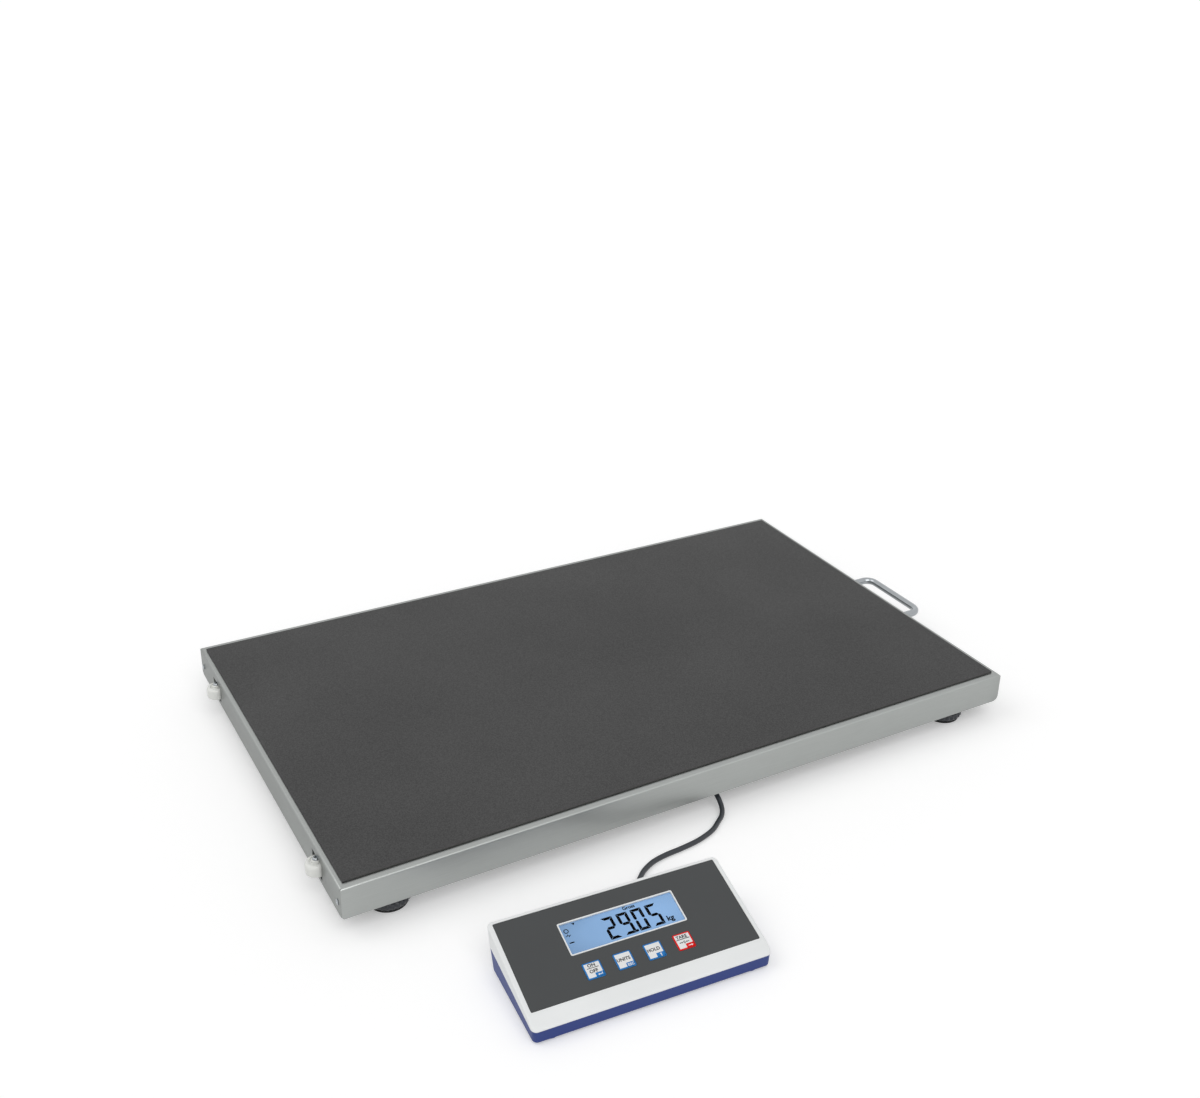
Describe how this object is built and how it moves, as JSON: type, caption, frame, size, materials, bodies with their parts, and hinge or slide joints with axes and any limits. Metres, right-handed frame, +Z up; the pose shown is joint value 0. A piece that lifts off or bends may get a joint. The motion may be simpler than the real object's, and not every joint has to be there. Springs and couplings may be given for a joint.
{
  "type": "livestock platform scale",
  "caption": "Low platform scale for animals: steel tray with rubber mat on levelling feet, rollers at one end, carrying handle at the other, and a desktop display unit on a cable.",
  "frame": {"origin": "on the floor, under the middle of the outline of platform and display unit together, the free cable left out", "axes": "+X along the platform's long side towards the handle, +Y across it away from the display unit, +Z up"},
  "size_m": [0.968, 0.7946, 0.0655],
  "materials": {
    "stainless": "fine brushed stainless sheet",
    "polished_steel": "polished stainless",
    "zinc_steel": "zinc-plated",
    "aluminium": "anodised",
    "mat_rubber": "matt with a fine grain",
    "foot_nylon": "moulded, satin",
    "sole_rubber": "matt",
    "roller_nylon": "milky, satin",
    "cable_jacket": "satin jacket",
    "box_plastic": "fine texture",
    "white_plastic": "fine texture",
    "blue_plastic": "fine texture",
    "panel_foil": "matt printed film",
    "key_white": "satin",
    "key_red": "satin",
    "window_clear": "clear",
    "lcd_blue": "backlit",
    "board_green": "solder mask",
    "battery_sleeve": "shrink film",
    "black_plastic": "moulded, satin"
  },
  "bodies": {
    "platform": {"battery_pack": "battery_sleeve", "cable_boot": "black_plastic", "cable_clip": "black_plastic", "cell_lead_back_left": "cable_jacket", "cell_lead_back_right": "cable_jacket", "cell_lead_front_left": "cable_jacket", "cell_lead_front_right": "cable_jacket", "circuit_board": "board_green", "corner_rivet_1": "polished_steel", "corner_rivet_2": "polished_steel", "corner_rivet_3": "polished_steel", "corner_rivet_4": "polished_steel", "crossbar_1": "stainless", "crossbar_2": "stainless", "crossbar_3": "stainless", "crossbar_4": "stainless", "display_base": "blue_plastic", "display_cover": "white_plastic", "handle": "polished_steel", "handle_screw_back": "zinc_steel", "handle_screw_front": "zinc_steel", "housing_screw_1": "zinc_steel", "housing_screw_2": "zinc_steel", "housing_screw_3": "zinc_steel", "housing_screw_4": "zinc_steel", "junction_box": "box_plastic", "junction_lid": "box_plastic", "lcd_module": "lcd_blue", "load_cell_back_left": "aluminium", "load_cell_back_right": "aluminium", "load_cell_front_left": "aluminium", "load_cell_front_right": "aluminium", "panel_foil": "panel_foil", "power_socket": "black_plastic", "rail_back": "stainless", "rail_front": "stainless", "roller_bracket_back": "stainless", "roller_bracket_front": "stainless", "roller_screw_back": "polished_steel", "roller_screw_front": "polished_steel", "rubber_mat": "mat_rubber", "signal_cable": "cable_jacket", "signal_lead": "cable_jacket", "weighing_plate": "stainless", "window_pane": "window_clear"},
    "roller_front": {"roller_front": "roller_nylon"},
    "roller_back": {"roller_back": "roller_nylon"},
    "sole_front_left": {"foot_sole_front_left": "sole_rubber"},
    "wheel_front_left": {"foot_wheel_front_left": "foot_nylon"},
    "sole_front_right": {"foot_sole_front_right": "sole_rubber"},
    "wheel_front_right": {"foot_wheel_front_right": "foot_nylon"},
    "sole_back_left": {"foot_sole_back_left": "sole_rubber"},
    "wheel_back_left": {"foot_wheel_back_left": "foot_nylon"},
    "sole_back_right": {"foot_sole_back_right": "sole_rubber"},
    "wheel_back_right": {"foot_wheel_back_right": "foot_nylon"},
    "key_power": {"key_power": "key_white"},
    "key_unit": {"key_unit": "key_white"},
    "key_hold": {"key_hold": "key_white"},
    "key_zero": {"key_zero": "key_red"},
    "battery_hatch": {"battery_hatch": "blue_plastic"}
  },
  "joints": [
    {"name": "roller_front_spin", "type": "hinge", "parent": "platform", "child": "roller_front", "pos_m": [-0.4715, -0.07572, 0.0385], "axis": [0, 0, 1], "continuous": true},
    {"name": "roller_back_spin", "type": "hinge", "parent": "platform", "child": "roller_back", "pos_m": [-0.4715, 0.32028, 0.0385], "axis": [0, 0, 1], "continuous": true},
    {"name": "foot_lower_front_left", "type": "slide", "parent": "platform", "child": "sole_front_left", "axis": [0, 0, 1], "range_m": [-0.008, 0]},
    {"name": "foot_screw_front_left", "type": "hinge", "parent": "sole_front_left", "child": "wheel_front_left", "pos_m": [-0.409, -0.11772, 0.01], "axis": [0, 0, 1], "range_deg": [-1920, 0]},
    {"name": "foot_lower_front_right", "type": "slide", "parent": "platform", "child": "sole_front_right", "axis": [0, 0, 1], "range_m": [-0.008, 0]},
    {"name": "foot_screw_front_right", "type": "hinge", "parent": "sole_front_right", "child": "wheel_front_right", "pos_m": [0.367, -0.11772, 0.01], "axis": [0, 0, 1], "range_deg": [-1920, 0]},
    {"name": "foot_lower_back_left", "type": "slide", "parent": "platform", "child": "sole_back_left", "axis": [0, 0, 1], "range_m": [-0.008, 0]},
    {"name": "foot_screw_back_left", "type": "hinge", "parent": "sole_back_left", "child": "wheel_back_left", "pos_m": [-0.409, 0.36228, 0.01], "axis": [0, 0, 1], "range_deg": [-1920, 0]},
    {"name": "foot_lower_back_right", "type": "slide", "parent": "platform", "child": "sole_back_right", "axis": [0, 0, 1], "range_m": [-0.008, 0]},
    {"name": "foot_screw_back_right", "type": "hinge", "parent": "sole_back_right", "child": "wheel_back_right", "pos_m": [0.367, 0.36228, 0.01], "axis": [0, 0, 1], "range_deg": [-1920, 0]},
    {"name": "key_power_press", "type": "slide", "parent": "platform", "child": "key_power", "axis": [0.0167, 0.2226, -0.9748], "range_m": [0, 0.0005], "stiffness_N_per_m": 600},
    {"name": "key_unit_press", "type": "slide", "parent": "platform", "child": "key_unit", "axis": [0.0167, 0.2226, -0.9748], "range_m": [0, 0.0005], "stiffness_N_per_m": 600},
    {"name": "key_hold_press", "type": "slide", "parent": "platform", "child": "key_hold", "axis": [0.0167, 0.2226, -0.9748], "range_m": [0, 0.0005], "stiffness_N_per_m": 600},
    {"name": "key_zero_press", "type": "slide", "parent": "platform", "child": "key_zero", "axis": [0.0167, 0.2226, -0.9748], "range_m": [0, 0.0005], "stiffness_N_per_m": 600},
    {"name": "hatch_slide", "type": "slide", "parent": "platform", "child": "battery_hatch", "axis": [0.075, 0.9972, 0], "range_m": [0, 0.04]}
  ],
  "couplings": [
    {"joint": "foot_lower_front_left", "follows": "foot_screw_front_left", "m_per_rad": 0.00023873},
    {"joint": "foot_lower_front_right", "follows": "foot_screw_front_right", "m_per_rad": 0.00023873},
    {"joint": "foot_lower_back_left", "follows": "foot_screw_back_left", "m_per_rad": 0.00023873},
    {"joint": "foot_lower_back_right", "follows": "foot_screw_back_right", "m_per_rad": 0.00023873}
  ]
}
